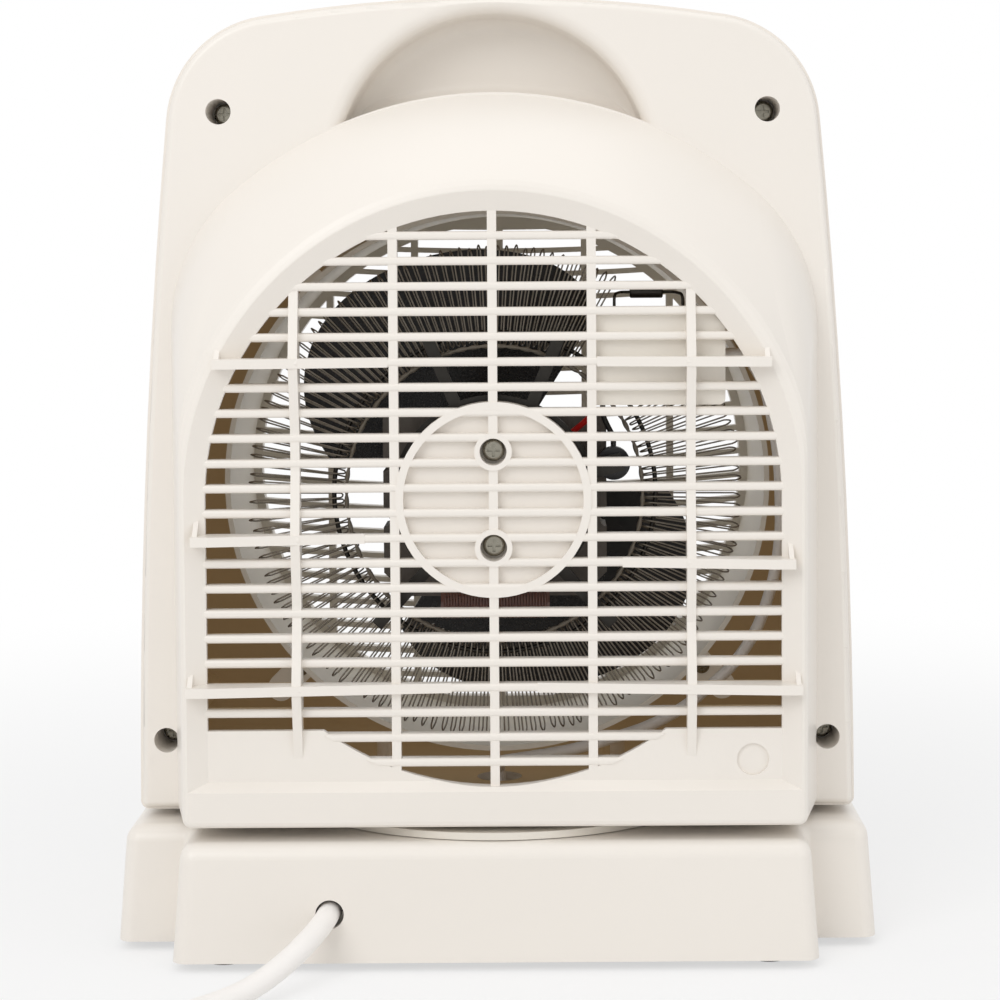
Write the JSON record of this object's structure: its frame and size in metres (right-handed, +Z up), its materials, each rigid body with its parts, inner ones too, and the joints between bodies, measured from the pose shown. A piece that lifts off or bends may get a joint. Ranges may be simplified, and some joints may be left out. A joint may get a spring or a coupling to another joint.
{
  "type": "fan heater",
  "caption": "Oscillating fan heater on a winged base, with rear grille, handle pocket, wire element, axial fan, front knobs and a coiled mains lead.",
  "frame": {"origin": "on the floor below the turntable's axis, at the middle of the base", "axes": "+Z up, -Y towards the front grille and the knobs, +X to the left of someone who looks at the back"},
  "size_m": [0.2554, 0.362, 0.3195],
  "materials": {
    "white_plastic": "satin moulded plastic",
    "grey_plastic": "matte moulded plastic",
    "dark_plastic": "semi-gloss moulded plastic",
    "duct_plastic": "matte heat-resistant plastic",
    "grille_plastic": "satin moulded plastic",
    "lens": "tinted lens",
    "steel": "plain steel",
    "zinc_screw": "zinc-plated",
    "lamination": "dark lacquered steel laminations",
    "enamel": "enamelled copper winding under lacquer",
    "bronze": "sintered bronze",
    "brass": "plain brass",
    "alloy_wire": "dull resistance wire",
    "mica": "pale mica board",
    "box_plastic": "matte moulded plastic",
    "ceramic": "glazed ceramic",
    "red_lead": "soft lead insulation",
    "black_lead": "soft lead insulation",
    "cord_sheath": "soft flexible sheath",
    "plug_plastic": "soft moulded plastic",
    "rubber": "black rubber",
    "slide_plastic": "low-friction plastic",
    "chrome": "nickel-plated"
  },
  "bodies": {
    "base": {"base_shell": "white_plastic", "base_plate": "grey_plastic", "feet": "rubber", "base_screws": "zinc_screw", "glide_ring": "slide_plastic", "swing_motor": "steel", "tip_switch": "dark_plastic", "terminal_block": "box_plastic", "cord_clamp": "grey_plastic", "supply_lead": "black_lead", "mains_cord": "cord_sheath", "cord_coil": "cord_sheath", "cord_tie": "dark_plastic", "plug": "plug_plastic", "plug_pins": "chrome"},
    "housing": {"front_housing": "white_plastic", "rear_cover": "white_plastic", "corner_screws": "zinc_screw", "air_duct": "duct_plastic", "duct_screws": "zinc_screw", "front_grille": "grille_plastic", "control_panel": "grey_plastic", "thermostat_body": "dark_plastic", "selector_body": "dark_plastic", "control_nuts": "zinc_screw", "pilot_lamp": "lens", "swing_switch": "dark_plastic", "turntable": "grille_plastic", "turntable_screws": "zinc_screw", "retainer": "slide_plastic", "mount_plate": "steel", "motor_screws": "zinc_screw", "motor_brackets": "steel", "motor_bushes": "bronze", "stator": "lamination", "stator_winding": "enamel", "stack_bolts": "zinc_screw", "element_winding": "alloy_wire", "element_rings": "ceramic", "mica_cards": "mica", "element_terminals": "brass", "connection_box": "box_plastic", "box_lid": "box_plastic", "thermal_fuse": "steel", "thermal_cutout": "dark_plastic", "cutout_lead": "black_lead", "motor_lead": "red_lead", "inner_lead": "black_lead"},
    "fan": {"fan_blades": "dark_plastic", "fan_nut": "zinc_screw", "motor_shaft": "steel", "rotor": "lamination"},
    "thermostat": {"thermostat_knob": "white_plastic", "thermostat_spindle": "steel"},
    "selector": {"selector_knob": "white_plastic", "selector_spindle": "steel"},
    "rocker": {"swing_rocker": "dark_plastic"},
    "crank": {"crank": "slide_plastic"},
    "plunger": {"tip_plunger": "white_plastic", "tip_spring": "steel"}
  },
  "joints": [
    {"name": "swing", "type": "hinge", "parent": "base", "child": "housing", "pos_m": [0, 0, 0.0385], "axis": [0, 0, 1], "range_deg": [-23, 23]},
    {"name": "crank_turn", "type": "hinge", "parent": "base", "child": "crank", "pos_m": [0, -0.04, 0.031], "axis": [0, 0, 1], "range_deg": [-91, 91]},
    {"name": "fan_spin", "type": "hinge", "parent": "housing", "child": "fan", "pos_m": [0, -0.029, 0.1533], "axis": [0, 1, 0], "continuous": true},
    {"name": "thermostat_turn", "type": "hinge", "parent": "housing", "child": "thermostat", "pos_m": [-0.046, -0.068, 0.286], "axis": [0, 1, 0], "range_deg": [0, 300]},
    {"name": "selector_turn", "type": "hinge", "parent": "housing", "child": "selector", "pos_m": [0.046, -0.068, 0.286], "axis": [0, 1, 0], "range_deg": [0, 180]},
    {"name": "rocker_tilt", "type": "hinge", "parent": "housing", "child": "rocker", "pos_m": [0, -0.0642, 0.281], "axis": [0, 0, 1], "range_deg": [-14, 0]},
    {"name": "plunger_drop", "type": "slide", "parent": "base", "child": "plunger", "axis": [0, 0, -1], "range_m": [0, 0.003], "stiffness_N_per_m": 100, "springref_m": 0.005, "deforming": ["tip_spring"]}
  ],
  "couplings": [
    {"joint": "crank_turn", "follows": "swing", "ratio": 3.913}
  ]
}
